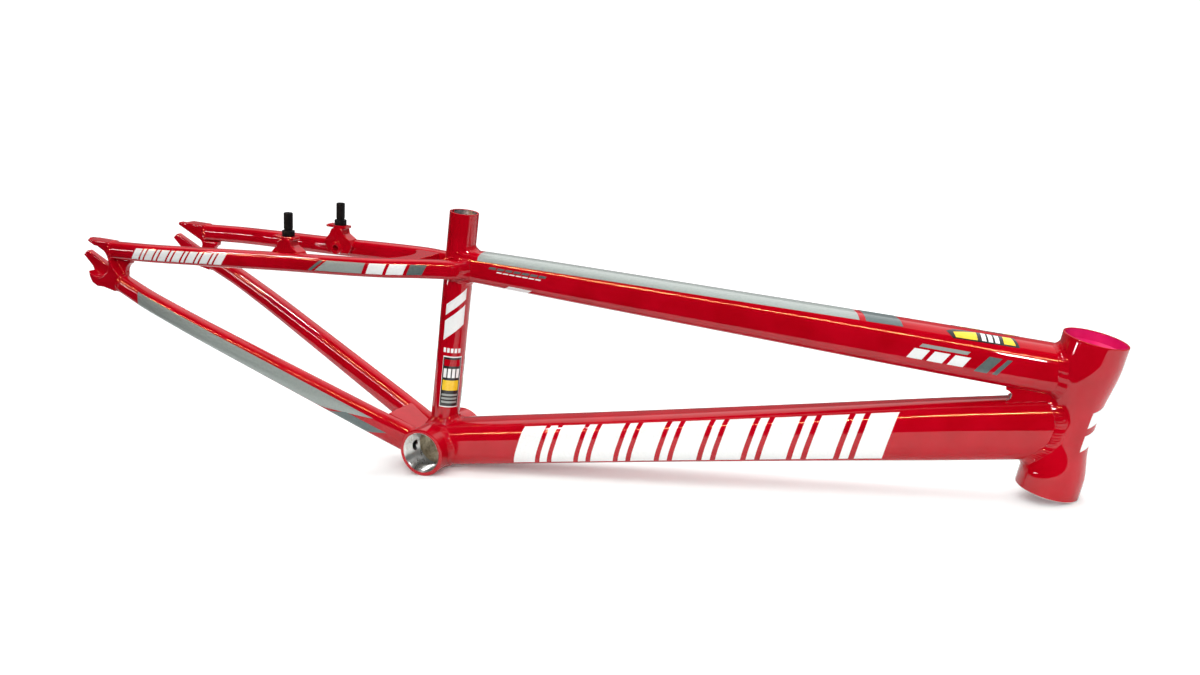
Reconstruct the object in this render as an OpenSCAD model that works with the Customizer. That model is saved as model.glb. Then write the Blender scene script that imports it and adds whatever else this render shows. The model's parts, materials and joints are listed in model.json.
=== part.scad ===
// Bare BMX race frame, resting on its bottom bracket shell and the head tube's lower rim.
// Every piece is laid out in riding position (X forward, Z up, origin at the centre of the
// bottom bracket) and is then pitched nose-down into the resting stance.

/* [Layout] */
// Head tube angle above the ground line, in riding position (degrees)
head_angle = 74; // [72:0.5:76]
// Seat tube angle above the ground line, in riding position (degrees)
seat_angle = 70.8; // [69:0.2:73]
// Distance forward from the bottom bracket axis to the head tube's lower face
head_reach = 441; // [400:1:540]
// Height from the bottom bracket axis to the head tube's lower face
head_stack = 268; // [240:1:330]
// Distance back from the bottom bracket axis to the rear axle, fully forward in its slot
axle_back = 360; // [340:1:440]
// Depth of the rear axle below the bottom bracket axis
axle_drop = 13.5; // [8:0.5:20]

/* [Head tube] */
// Length of the head tube
head_length = 117; // [110:1:141]
// Outer radius of the head tube's two rims
head_rim_r = 22.5; // [22.3:0.1:24]
// Outer radius of the head tube's waist
head_waist_r = 18; // [17:0.1:20]
// Radius of the headset bearing seats (41.8 mm bearings)
headset_bore_r = 21; // [20.5:0.1:21.5]
// Depth of each headset bearing seat
headset_bore_depth = 7; // [5:0.5:10]
// Wall of the head tube between the bearing seats
head_wall = 2.2; // [1.8:0.1:2.6]

/* [Seat tube] */
// Length of the seat tube above the bottom bracket axis
seat_length = 214; // [205:1:260]
// Outer radius of the seat tube
seat_r = 12.7; // [12.2:0.1:13.5]
// Bore radius of the seat tube, for a 22.2 mm seat post
seat_bore_r = 11.1; // [10.5:0.1:11.6]
// Width of the clamp slot at the rear of the seat tube's top
clamp_slot_w = 2.4; // [1.5:0.1:4]
// Length of the clamp slot
clamp_slot_l = 22; // [15:1:28]

/* [Bottom bracket shell] */
// Width of the shell
shell_w = 73; // [68:1:83]
// Outer radius of the shell
shell_r = 21.6; // [20.5:0.1:24]
// Radius of the shell's thread (1.37 inch thread, at its crests)
shell_thread_r = 16.8; // [16:0.1:17.4]
// Depth of the thread from each end
shell_thread_l = 24; // [20:1:28]

/* [Top tube] */
// Distance from the bottom bracket axis, along the seat tube, to the top tube's centre line
top_tube_on_seat = 168; // [160:1:176]
// Distance from the head tube's lower face, along its axis, to the top tube's centre line
top_tube_on_head = 90; // [86:1:94]
// Height of the top tube at the seat tube
top_tube_h_rear = 26.5; // [22:0.5:30]
// Height of the top tube at the head tube
top_tube_h_front = 35.5; // [30:0.5:37]
// Width of the top tube at the head tube
top_tube_w_front = 34; // [28:0.5:35]

/* [Down tube] */
// Distance from the head tube's lower face, along its axis, to the down tube's centre line
down_tube_on_head = 50; // [46:1:54]
// Height of the down tube at the bottom bracket
down_tube_h_rear = 40.5; // [36:0.5:42]
// Height of the down tube at the head tube
down_tube_h_front = 46; // [40:0.5:48]
// Width of the down tube at the bottom bracket
down_tube_w_rear = 44; // [36:0.5:50]
// Width of the down tube at the head tube
down_tube_w_front = 35; // [30:0.5:35.5]

/* [Chainstays and seatstays] */
// Height of a chainstay at the bottom bracket
chainstay_h_front = 26; // [22:0.5:28]
// Height of a chainstay at the dropout
chainstay_h_rear = 16.5; // [14:0.5:18]
// Height of a seatstay
seatstay_h = 16.5; // [14:0.5:18]
// Width of every stay
stay_w = 14; // [12:0.5:15]
// Distance along the seat tube to the seatstays' centre line
seatstay_on_seat = 165; // [158:1:172]

/* [Tube walls] */
// Wall of the top and down tubes
main_wall = 1.6; // [1:0.1:2.2]
// Wall of the stays
stay_wall = 1.4; // [1:0.1:2]

/* [Dropouts] */
// Distance between the dropouts' inner faces
hub_width = 110; // [108:1:120]
// Width of the axle slot
axle_slot_w = 10; // [9.6:0.1:10.4]
// Thickness of the slotted plate
dropout_plate_t = 6; // [4:0.5:8]

/* [Brake mounts] */
// Distance between the two brake studs' axes
stud_spacing = 76; // [74:1:80]
// Distance along the seatstay, from its dropout end, to the brake studs
stud_along_stay = 186; // [176:1:196]
// Height of a stud's collar above the seatstay's centre line
stud_seat = 22.5; // [20:0.5:26]
// Radius of a brake stud's pivot
stud_r = 4; // [3.5:0.1:4.5]
// Length of a brake stud's pivot above its collar
stud_l = 16; // [14:0.5:20]
// Thickness of a brake boss, along the stay's width
boss_t = 12; // [10:0.5:14]

/* [Welds] */
// Leg length of the weld beads
bead = 2.4; // [1.5:0.1:3]

/* [Hidden] */

$fn = 96;
paint = "crimson";
stud_black = [0.08, 0.08, 0.08];

// Sections are superellipses: 2 would be an oval, larger numbers are boxier
section_power = 3;
section_points = 32;

// Resting stance: the pitch at which the head tube's lower rim is level with the shell's underside
head_dir = 180 - head_angle;
rim_a = head_stack - head_rim_r * cos(head_dir);
rim_b = head_reach + head_rim_r * sin(head_dir);
rest_pitch = acos(-shell_r / norm([rim_a, rim_b])) - atan2(rim_b, rim_a);

// Points on the seat tube's and head tube's axes, in riding position
seat_dir = 180 - seat_angle;
function on_seat(s) = [s * cos(seat_dir), 0, s * sin(seat_dir)];
function on_head(s) = [head_reach + s * cos(head_dir), 0, head_stack + s * sin(head_dir)];
function slope(a, b) = atan2(b[2] - a[2], b[0] - a[0]);

top_start = on_seat(top_tube_on_seat);
top_end = on_head(top_tube_on_head);
top_len = norm(top_end - top_start);
top_stations = [
  [0, 0, seat_r - 0.2, top_tube_h_rear / 2],
  [0.16 * top_len, 0, seat_r + 1, (0.7 * top_tube_h_rear + 0.3 * top_tube_h_front) / 2],
  [0.5 * top_len, 0, (seat_r + top_tube_w_front / 2) / 2,
    (0.3 * top_tube_h_rear + 0.7 * top_tube_h_front) / 2],
  [0.85 * top_len, 0, top_tube_w_front / 2, top_tube_h_front / 2],
  [top_len, 0, top_tube_w_front / 2, top_tube_h_front / 2]];

down_end = on_head(down_tube_on_head);
down_len = norm(down_end);
down_stations = [
  [0, 0, down_tube_w_rear / 2, down_tube_h_rear / 2],
  [0.3 * down_len, 0, down_tube_w_rear / 2, down_tube_h_rear / 2],
  [0.65 * down_len, 0, (down_tube_w_rear + down_tube_w_front) / 4,
    (down_tube_h_rear + down_tube_h_front) / 4],
  [0.88 * down_len, 0, down_tube_w_front / 2, down_tube_h_front / 2],
  [down_len, 0, down_tube_w_front / 2, down_tube_h_front / 2]];

// Rear axle and the points that the stays' centre lines run to, in riding position
axle = [-axle_back, 0, -axle_drop];
stay_end_y = hub_width / 2 + stay_w / 2;
chainstay_start = [0, 0, -6.7];
chainstay_end = axle + [22, 0, -10.6];
chainstay_len = norm(chainstay_end - chainstay_start);
chainstay_start_y = stay_w / 2 + 6;
// Share of the way from the shell to the dropout, and share of the way out from start to end
chainstay_spread = [[0, 0], [0.18, 0.24], [0.32, 0.4], [0.55, 0.66], [0.8, 0.92], [0.93, 1], [1, 1]];
chainstay_stations = [for (k = chainstay_spread) [
  k[0] * chainstay_len,
  chainstay_start_y + k[1] * (stay_end_y - chainstay_start_y),
  stay_w / 2,
  (chainstay_h_front + (chainstay_h_rear - chainstay_h_front) * k[0]) / 2]];

seatstay_start = on_seat(seatstay_on_seat);
seatstay_end = axle + [2, 0, 14];
seatstay_len = norm(seatstay_end - seatstay_start);
seatstay_start_y = seat_r + 3.5;
seatstay_spread = [[-0.02, 0], [0.08, 0.15], [0.16, 0.36], [0.28, 0.5], [0.46, 0.62], [0.72, 0.87],
  [0.9, 1], [1, 1]];
seatstay_stations = [for (k = seatstay_spread) [
  k[0] * seatstay_len,
  seatstay_start_y + k[1] * (stay_end_y - seatstay_start_y),
  stay_w / 2,
  seatstay_h / 2]];

// Pitches everything from riding position into the resting stance
module at_rest() {
  rotate([0, rest_pitch, 0]) children();
}

// Copies a right-hand piece (-Y) to the left-hand side
module left_side() {
  mirror([0, 1, 0]) children();
}

// Moves a shape built along +X so that it runs from one point towards another
module along(a, b) {
  translate(a) rotate([0, -slope(a, b), 0]) children();
}

// One ring of a tube: station is [distance, offset to the side, half width, half height]
function ring(station, grow, side) = [for (i = [0 : section_points - 1])
  let (a = 360 * i / section_points, c = cos(a), s = sin(a)) [
    station[0],
    side * station[1] + (station[2] + grow) * sign(c) * pow(abs(c), 2 / section_power),
    (station[3] + grow) * sign(s) * pow(abs(s), 2 / section_power)]];

function flat(lists) = [for (l = lists) for (p = l) p];

function skin_faces(rings, first, inward) = [for (r = [0 : rings - 2]) for (i = [0 : section_points - 1])
  let (j = (i + 1) % section_points,
    a = first + r * section_points + i, b = first + r * section_points + j,
    c = b + section_points, d = a + section_points)
  inward ? [a, b, c, d] : [d, c, b, a]];

// A solid body with a tube's outer shape, for cutting and for weld beads
module tube_solid(stations, side, grow) {
  n = len(stations);
  points = flat([for (k = stations) ring(k, grow, side)]);
  first_cap = [for (i = [0 : section_points - 1]) i];
  last_cap = [for (i = [section_points - 1 : -1 : 0]) (n - 1) * section_points + i];
  polyhedron(points, concat(skin_faces(n, 0, false), [first_cap, last_cap]));
}

// A hollow tube, open at both ends
module tube_hollow(stations, side, wall) {
  difference() {
    tube_solid(stations, side, 0);
    tube_solid(concat(
      [[stations[0][0] - 1, stations[0][1], stations[0][2], stations[0][3]]],
      stations,
      [[stations[len(stations) - 1][0] + 1, stations[len(stations) - 1][1],
        stations[len(stations) - 1][2], stations[len(stations) - 1][3]]]), side, -wall);
  }
}

// Outer radius of the head tube at a distance from its lower face: flared ends round a waist
function swell(x) = (1 - cos(180 * min(1, max(0, x)))) / 2;
function head_radius(t) = let (share = t / head_length,
  lower = 1 - swell((share - 0.1) / 0.26), upper = swell((share - 0.5) / 0.39))
  head_waist_r + (head_rim_r - head_waist_r) * max(lower, upper);

module on_head_axis() {
  translate(on_head(0)) rotate([0, head_angle - 90, 0]) children();
}

module on_seat_axis() {
  rotate([0, seat_angle - 90, 0]) children();
}

// Outer shapes of the pieces that others are mitred to; grow makes them larger all round
head_steps = 26;
module head_solid(grow) {
  outline = [for (i = [0 : head_steps]) let (t = i * head_length / head_steps) [head_radius(t) + grow, t]];
  on_head_axis() rotate_extrude() polygon(concat([[0, 0]], outline, [[0, head_length]]));
}

module seat_solid(grow) {
  on_seat_axis() cylinder(r = seat_r + grow, h = seat_length);
}

module shell_solid(grow) {
  rotate([90, 0, 0]) cylinder(r = shell_r + grow, h = shell_w, center = true);
}

module top_solid(grow) {
  along(top_start, top_end) tube_solid(top_stations, 1, grow);
}

module down_solid(grow) {
  along([0, 0, 0], down_end) tube_solid(down_stations, 1, grow);
}

module chainstay_solid(side, grow) {
  along(chainstay_start, chainstay_end) tube_solid(chainstay_stations, side, grow);
}

module seatstay_solid(side, grow) {
  along(seatstay_start, seatstay_end) tube_solid(seatstay_stations, side, grow);
}

// Everything below the surface that the frame stands on; welds stay a hair above it
module floor_block() {
  hair = 0.08;
  translate([-2 * axle_back, -hub_width, -2 * shell_r])
    cube([2 * (axle_back + head_reach), 2 * hub_width, shell_r + hair]);
}

module head_tube() {
  seat_step = 2;
  inner_from = headset_bore_depth + seat_step;
  inner_to = head_length - inner_from;
  inner_r = headset_bore_r - seat_step;
  inner = [for (i = [0 : head_steps]) let (t = inner_from + i * (inner_to - inner_from) / head_steps)
    [min(inner_r, head_radius(t) - head_wall), t]];
  color(paint) at_rest() difference() {
    head_solid(0);
    on_head_axis() rotate_extrude() polygon(concat(
      [[0, -1], [headset_bore_r, -1], [headset_bore_r, headset_bore_depth]],
      inner,
      [[headset_bore_r, head_length - headset_bore_depth],
        [headset_bore_r, head_length + 1], [0, head_length + 1]]));
  }
}

module top_tube() {
  color(paint) at_rest() difference() {
    along(top_start, top_end) tube_hollow(top_stations, 1, main_wall);
    head_solid(0);
    seat_solid(0);
  }
}

module down_tube() {
  color(paint) at_rest() difference() {
    along([0, 0, 0], down_end) tube_hollow(down_stations, 1, main_wall);
    head_solid(0);
    shell_solid(0);
  }
}

module seat_tube() {
  ream_l = 0.56 * seat_length;
  butt_step = 0.3;
  relief_r = clamp_slot_w;
  color(paint) at_rest() difference() {
    seat_solid(0);
    on_seat_axis() {
      translate([0, 0, seat_length - ream_l]) cylinder(r = seat_bore_r, h = ream_l + 1);
      translate([0, 0, -1]) cylinder(r = seat_bore_r - butt_step, h = seat_length);
      translate([-seat_r - 1, -clamp_slot_w / 2, seat_length - clamp_slot_l])
        cube([seat_r + 1, clamp_slot_w, clamp_slot_l + 1]);
      translate([-seat_r - 1, 0, seat_length - clamp_slot_l])
        rotate([0, 90, 0]) cylinder(r = relief_r, h = seat_r + 1);
    }
    shell_solid(0);
    down_solid(0);
  }
}

module bottom_bracket_shell() {
  relief_step = 1;
  chamfer = 1.5;
  main_vent_r = 8;
  stay_vent_r = 4.5;
  stay_vent_y = 20;
  color(paint) at_rest() difference() {
    shell_solid(0);
    rotate([90, 0, 0]) {
      cylinder(r = shell_thread_r, h = shell_w + 2, center = true);
      cylinder(r = shell_thread_r + relief_step, h = shell_w - 2 * shell_thread_l, center = true);
      for (end = [0, 1]) mirror([0, 0, end]) translate([0, 0, shell_w / 2 - chamfer])
        cylinder(r1 = shell_thread_r, r2 = shell_thread_r + chamfer + 0.1, h = chamfer + 0.1);
    }
    on_seat_axis() cylinder(r = main_vent_r, h = 2 * shell_r);
    along([0, 0, 0], down_end) rotate([0, 90, 0]) cylinder(r = main_vent_r, h = 2 * shell_r);
    for (side = [-1, 1]) translate([0, side * stay_vent_y, 0]) along(chainstay_start, chainstay_end)
      rotate([0, 90, 0]) cylinder(r = stay_vent_r, h = 2 * shell_r);
  }
}

// Bar that fills the wedge between the top tube and down tube, before it is mitred to them
module gusset_bar() {
  gusset_l = 47;
  gusset_w = 22;
  notch_r = 4;
  gusset_h = 24;
  meet = (top_tube_on_head - top_tube_h_front / 2 + down_tube_on_head + down_tube_h_front / 2) / 2;
  middle_slope = (slope(top_start, top_end) + slope([0, 0, 0], down_end)) / 2;
  translate(on_head(meet)) rotate([0, -middle_slope, 0]) difference() {
    translate([-gusset_l, -gusset_w / 2, -gusset_h / 2]) cube([gusset_l, gusset_w, gusset_h]);
    translate([-gusset_l, 0, 0]) rotate([90, 0, 0]) cylinder(r = notch_r, h = gusset_w + 2, center = true);
  }
}

module head_gusset() {
  color(paint) at_rest() difference() {
    gusset_bar();
    head_solid(0);
    top_solid(0);
    down_solid(0);
  }
}

module chainstay(side) {
  color(paint) at_rest() difference() {
    along(chainstay_start, chainstay_end) tube_hollow(chainstay_stations, side, stay_wall);
    shell_solid(0);
  }
}

module chainstay_right() {
  chainstay(-1);
}

module chainstay_left() {
  chainstay(1);
}

module seatstay(side) {
  color(paint) at_rest() difference() {
    along(seatstay_start, seatstay_end) tube_hollow(seatstay_stations, side, stay_wall);
    seat_solid(0);
    top_solid(0);
  }
}

module seatstay_right() {
  seatstay(-1);
}

module seatstay_left() {
  seatstay(1);
}

// Dropout outlines, in the plane of the wheel, measured from the axle at the slot's closed end.
// back runs along a stay from its end, up stands square to it.
function stay_corner(from, to, back, up) = let (a = slope(to, from))
  [to[0] - axle[0] + back * cos(a) - up * sin(a), to[2] - axle[2] + back * sin(a) + up * cos(a)];

seat_top = stay_corner(seatstay_start, seatstay_end, 0, seatstay_h / 2);
seat_low = stay_corner(seatstay_start, seatstay_end, 0, -seatstay_h / 2);
chain_top = stay_corner(chainstay_start, chainstay_end, 0, chainstay_h_rear / 2);
chain_low = stay_corner(chainstay_start, chainstay_end, 0, -chainstay_h_rear / 2);
lower_lobe = [[8, -22.5], [1, -26], [-6, -25.8], [-11, -22]];

// Slot for the axle, open to the rear
prong_l = 31;
module axle_slot() {
  circle(d = axle_slot_w);
  translate([-2 * prong_l, -axle_slot_w / 2]) square([2 * prong_l, axle_slot_w]);
}

// Thin slotted plate: two prongs round the slot and a web between the stays with a round crotch
module dropout_plate() {
  web_l = 18;
  web_low_l = 4;
  crotch_r = 11;
  prong_tip_t = 3;
  crotch = stay_corner(seatstay_start, seatstay_end, web_l, -seatstay_h / 2);
  crotch_low = stay_corner(chainstay_start, chainstay_end, web_low_l, chainstay_h_rear / 2);
  upper_prong = [[-prong_l, axle_slot_w / 2], [-prong_l, axle_slot_w / 2 + prong_tip_t]];
  lower_prong = [[-18, -16], [-prong_l - 1, -11.5], [-prong_l + 2, -axle_slot_w / 2]];
  difference() {
    polygon(concat(upper_prong, [seat_top, seat_low, crotch, crotch_low, chain_top, chain_low],
      lower_lobe, lower_prong));
    translate(crotch + [crotch_r - 2, -crotch_r]) circle(r = crotch_r);
    axle_slot();
  }
}

// Thick rim round the pocket that the axle nut sits in, open to the rear
module dropout_rim() {
  nut_pocket = [-8, -3.5];
  nut_pocket_r = 15;
  mouth_lip = 2;
  rim_rear = [-25, 11];
  rim_front = [12, 1.5];
  rim_low = [-14, -17];
  difference() {
    polygon(concat([rim_rear, seat_top, seat_low, rim_front, chain_top, chain_low], lower_lobe, [rim_low]));
    translate(nut_pocket) circle(r = nut_pocket_r);
    translate(nut_pocket + [-2 * prong_l, mouth_lip - nut_pocket_r])
      square([2 * prong_l, 2 * (nut_pocket_r - mouth_lip)]);
    axle_slot();
  }
}

module dropout_solid() {
  translate([axle[0], -hub_width / 2, axle[2]]) rotate([90, 0, 0]) {
    linear_extrude(dropout_plate_t) dropout_plate();
    linear_extrude(stay_w) dropout_rim();
  }
}

module dropout_right() {
  color(paint) at_rest() dropout_solid();
}

module dropout_left() {
  left_side() dropout_right();
}

// Bar between the chainstays behind the shell, before it is mitred to them
module chainstay_bridge_bar() {
  bridge_from = 8;
  bridge_to = 52;
  bridge_w = 36;
  bridge_top = 2.5;
  bridge_t = 12;
  translate([-bridge_to, -bridge_w / 2, bridge_top - bridge_t])
    cube([bridge_to - bridge_from, bridge_w, bridge_t]);
}

module chainstay_bridge() {
  color(paint) at_rest() difference() {
    chainstay_bridge_bar();
    shell_solid(0);
    seat_solid(0);
    for (side = [-1, 1]) chainstay_solid(side, 0);
  }
}

module seatstay_bridge() {
  bridge_from = 32;
  bridge_to = 60;
  bridge_w = 54;
  bridge_t = 9;
  scoop_r = 30;
  color(paint) at_rest() difference() {
    along(seatstay_start, seatstay_end) difference() {
      translate([bridge_from, -bridge_w / 2, -seatstay_h / 2 + 1.2])
        cube([bridge_to - bridge_from, bridge_w, bridge_t]);
      translate([bridge_to + scoop_r - 10, 0, -seatstay_h]) cylinder(r = scoop_r, h = 2 * seatstay_h);
    }
    for (side = [-1, 1]) seatstay_solid(side, 0);
  }
}

// Brake mounts: x runs along the seatstay from its dropout end, z stands square to it
stud_tilt = 4;
module at_stud_foot() {
  translate(seatstay_end) rotate([0, -slope(seatstay_end, seatstay_start), 0])
    translate([stud_along_stay, -stud_spacing / 2, 0]) children();
}

module on_stud_axis() {
  at_stud_foot() rotate([0, stud_tilt, 0]) children();
}

// Saddle welded over the seatstay, with the stud's socket, a tab with two spring holes and a round port
module brake_boss_right() {
  socket_r = stud_r + 2.2;
  socket_depth = 9.4;
  tab_l = 22;
  tab_w = 10;
  tab_t = 2.6;
  tab_rear = 13;
  spring_hole_r = 1.3;
  spring_holes = [-11, -8.6];
  port_r = 6;
  port_hole_r = 3;
  port_l = boss_t / 2 + 2.5;
  foot = [[-11, -4], [13, -4], [18, 3], [15, 9], [8, 14]];
  heel = [[-8, 14], [-14, 8]];
  color(paint) at_rest() difference() {
    union() {
      at_stud_foot() rotate([90, 0, 0]) linear_extrude(boss_t, center = true)
        polygon(concat(foot, [[7, stud_seat - 3], [-5, stud_seat - 3]], heel));
      on_stud_axis() cylinder(r = socket_r, h = stud_seat);
      on_stud_axis() translate([-tab_rear, -tab_w / 2, stud_seat - tab_t]) cube([tab_l, tab_w, tab_t]);
      at_stud_foot() translate([0, 0, 1]) rotate([-90, 0, 0]) cylinder(r = port_r, h = port_l);
    }
    on_stud_axis() translate([0, 0, stud_seat - socket_depth]) cylinder(r = stud_r, h = socket_depth + 1);
    for (x = spring_holes) on_stud_axis() translate([x, 2.2, stud_seat - 2 * tab_t])
      cylinder(r = spring_hole_r, h = 3 * tab_t, $fn = 32);
    at_stud_foot() translate([0, 0, 1]) rotate([-90, 0, 0])
      cylinder(r = port_hole_r, h = port_l + 1, $fn = 48);
    seatstay_solid(-1, 0);
  }
}

module brake_boss_left() {
  left_side() brake_boss_right();
}

// Screwed-in stud: a collar on the boss, a pivot for the brake arm and a bolt hole in its end
module brake_stud_right() {
  collar_r = stud_r + 1.6;
  collar_l = 5;
  shank_l = 9;
  bolt_hole_r = 2.5;
  bolt_hole_l = 14;
  color(stud_black) at_rest() on_stud_axis() translate([0, 0, stud_seat]) difference() {
    union() {
      translate([0, 0, -shank_l]) cylinder(r = stud_r, h = shank_l + collar_l + stud_l);
      cylinder(r = collar_r, h = collar_l);
    }
    translate([0, 0, collar_l + stud_l - bolt_hole_l]) cylinder(r = bolt_hole_r, h = bolt_hole_l + 1);
  }
}

module brake_stud_left() {
  left_side() brake_stud_right();
}

// Weld beads: the metal that lies within one bead of both joined pieces
module top_tube_head_weld() {
  color(paint) at_rest() difference() {
    intersection() {
      top_solid(bead);
      head_solid(bead);
    }
    top_solid(0);
    head_solid(0);
    down_solid(0);
    gusset_bar();
  }
}

module down_tube_head_weld() {
  color(paint) at_rest() difference() {
    intersection() {
      down_solid(bead);
      head_solid(bead);
    }
    down_solid(0);
    head_solid(0);
    top_solid(bead);
    gusset_bar();
  }
}

module top_tube_seat_weld() {
  color(paint) at_rest() difference() {
    intersection() {
      top_solid(bead);
      seat_solid(bead);
    }
    top_solid(0);
    seat_solid(0);
    for (side = [-1, 1]) seatstay_solid(side, 0);
  }
}

module seatstay_seat_welds() {
  color(paint) at_rest() difference() {
    intersection() {
      seat_solid(bead);
      union() for (side = [-1, 1]) seatstay_solid(side, bead);
    }
    seat_solid(0);
    top_solid(bead);
    for (side = [-1, 1]) seatstay_solid(side, 0);
  }
}

module down_tube_shell_weld() {
  color(paint) difference() {
    at_rest() difference() {
      intersection() {
        down_solid(bead);
        shell_solid(bead);
      }
      down_solid(0);
      shell_solid(0);
      seat_solid(0);
    }
    floor_block();
  }
}

module seat_tube_shell_weld() {
  color(paint) at_rest() difference() {
    intersection() {
      seat_solid(bead);
      union() {
        shell_solid(bead);
        down_solid(bead);
      }
    }
    seat_solid(0);
    shell_solid(0);
    down_solid(0);
    intersection() {
      down_solid(bead);
      shell_solid(bead);
    }
  }
}

module chainstay_shell_welds() {
  color(paint) difference() {
    at_rest() difference() {
      intersection() {
        shell_solid(bead);
        union() for (side = [-1, 1]) chainstay_solid(side, bead);
      }
      shell_solid(0);
      chainstay_bridge_bar();
      for (side = [-1, 1]) chainstay_solid(side, 0);
    }
    floor_block();
  }
}

// A short collar of weld round the dropout end of a stay
function end_slice(stations, len) = let (k = stations[len(stations) - 1])
  [[len - bead, k[1], k[2], k[3]], [len + bead, k[1], k[2], k[3]]];

// Room for the hub between the dropouts: the welds there are dressed flush with the inner faces
module hub_space() {
  translate([-2 * axle_back, -hub_width / 2, -axle_back])
    cube([2 * axle_back, hub_width, 2 * axle_back]);
}

module dropout_welds_right() {
  proud = bead / 2;
  color(paint) at_rest() difference() {
    union() {
      along(seatstay_start, seatstay_end)
        tube_solid(end_slice(seatstay_stations, seatstay_len), -1, proud);
      along(chainstay_start, chainstay_end)
        tube_solid(end_slice(chainstay_stations, chainstay_len), -1, proud);
    }
    seatstay_solid(-1, 0);
    chainstay_solid(-1, 0);
    dropout_solid();
    hub_space();
  }
}

module dropout_welds_left() {
  left_side() dropout_welds_right();
}

head_tube();
top_tube();
down_tube();
seat_tube();
bottom_bracket_shell();
head_gusset();
chainstay_left();
chainstay_right();
seatstay_left();
seatstay_right();
dropout_left();
dropout_right();
chainstay_bridge();
seatstay_bridge();
brake_boss_left();
brake_boss_right();
brake_stud_left();
brake_stud_right();
top_tube_head_weld();
down_tube_head_weld();
top_tube_seat_weld();
seatstay_seat_welds();
down_tube_shell_weld();
seat_tube_shell_weld();
chainstay_shell_welds();
dropout_welds_left();
dropout_welds_right();
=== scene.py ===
"""Looks for a bare BMX race frame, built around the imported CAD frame.

The frame's own lengths are in millimetres in riding position (X forward, Z up, origin at the centre of
the bottom bracket shell) until at_rest() pitches them into the resting stance and turns them into
metres. The stage, lights and camera are placed in metres in the resting stance.
"""
import json
import math

import bmesh
import bpy
import numpy as np
from mathutils import Matrix, Vector

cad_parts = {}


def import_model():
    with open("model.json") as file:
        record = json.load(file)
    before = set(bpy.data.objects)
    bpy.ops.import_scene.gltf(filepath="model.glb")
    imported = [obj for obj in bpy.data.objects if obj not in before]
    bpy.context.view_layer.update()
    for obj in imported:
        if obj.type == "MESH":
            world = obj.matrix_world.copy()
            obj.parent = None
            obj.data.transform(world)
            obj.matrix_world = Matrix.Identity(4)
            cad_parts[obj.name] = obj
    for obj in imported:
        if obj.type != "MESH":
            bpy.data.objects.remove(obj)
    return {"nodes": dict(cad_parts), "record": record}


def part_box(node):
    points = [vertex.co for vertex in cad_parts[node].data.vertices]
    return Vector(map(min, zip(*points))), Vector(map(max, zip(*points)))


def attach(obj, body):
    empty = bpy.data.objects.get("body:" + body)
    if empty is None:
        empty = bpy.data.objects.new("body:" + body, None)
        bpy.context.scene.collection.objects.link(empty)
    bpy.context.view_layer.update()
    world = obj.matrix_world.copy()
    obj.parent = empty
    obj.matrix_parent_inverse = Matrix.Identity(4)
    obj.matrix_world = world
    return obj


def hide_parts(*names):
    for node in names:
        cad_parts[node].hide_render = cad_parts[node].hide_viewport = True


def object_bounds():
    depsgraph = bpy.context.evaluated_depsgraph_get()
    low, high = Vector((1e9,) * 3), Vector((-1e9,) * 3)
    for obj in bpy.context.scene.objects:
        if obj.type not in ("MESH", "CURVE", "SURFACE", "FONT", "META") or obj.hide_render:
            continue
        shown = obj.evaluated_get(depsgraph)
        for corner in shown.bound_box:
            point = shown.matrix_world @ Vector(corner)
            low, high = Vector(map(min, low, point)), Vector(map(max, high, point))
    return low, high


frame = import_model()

cad_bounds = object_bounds()

# --- Facts read from the frame ---
MM = 0.001
mounts = {m["name"]: m for m in frame["record"]["mounts"]}
slot_axis = mounts["rear_axle_slot_right"]["axis"]
PITCH = math.atan2(slot_axis[2], -slot_axis[0])
COS_P, SIN_P = math.cos(PITCH), math.sin(PITCH)


def at_rest(points):
    """Riding position in millimetres to the resting stance in metres."""
    p = np.asarray(points, float)
    return np.stack([p[..., 0] * COS_P + p[..., 2] * SIN_P, p[..., 1],
                     -p[..., 0] * SIN_P + p[..., 2] * COS_P], -1) * MM


def riding(vector, scale=1 / MM):
    """Resting stance in metres to riding position in millimetres."""
    x, y, z = (v * scale for v in vector)
    return np.array([x * COS_P - z * SIN_P, y, x * SIN_P + z * COS_P])


def mount_point(name):
    return riding(mounts[name]["pos_m"])


def mount_axis(name):
    return riding(mounts[name]["axis"], 1)


def mount_size(name, key):
    return mounts[name]["dims"][key]


Y = np.array([0.0, 1.0, 0.0])

# Head tube
HEAD_AXIS = mount_axis("upper_headset_seat")
BEARING_R = mount_size("upper_headset_seat", "r_mm")
BEARING_DEPTH = mount_size("upper_headset_seat", "length_mm")
HEAD_LOW = mount_point("lower_headset_seat") - HEAD_AXIS * BEARING_DEPTH / 2
HEAD_LENGTH = float(np.dot(mount_point("upper_headset_seat") - HEAD_LOW, HEAD_AXIS)) + BEARING_DEPTH / 2
HEAD_RIM_R = 22.5
HEAD_WAIST_R = 18.0
HEAD_WALL = 2.2

# Seat tube
SEAT_AXIS = mount_axis("seat_post_bore")
SEAT_BORE_R = mount_size("seat_post_bore", "r_mm")
SEAT_REAM = mount_size("seat_post_bore", "length_mm")
SEAT_LENGTH = float(np.dot(mount_point("seat_post_bore"), SEAT_AXIS)) + SEAT_REAM / 2
SEAT_R = 12.7
SLOT_W = 2.4
SLOT_L = 22.0

# Bottom bracket shell
shell_low, shell_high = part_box("bottom_bracket_shell")
SHELL_R = -shell_low.z / MM
SHELL_W = (shell_high.y - shell_low.y) / MM
THREAD_R = mount_size("bottom_bracket", "r_mm")
THREAD_L = 24.0
THREAD_PITCH = 25.4 / 24

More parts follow.
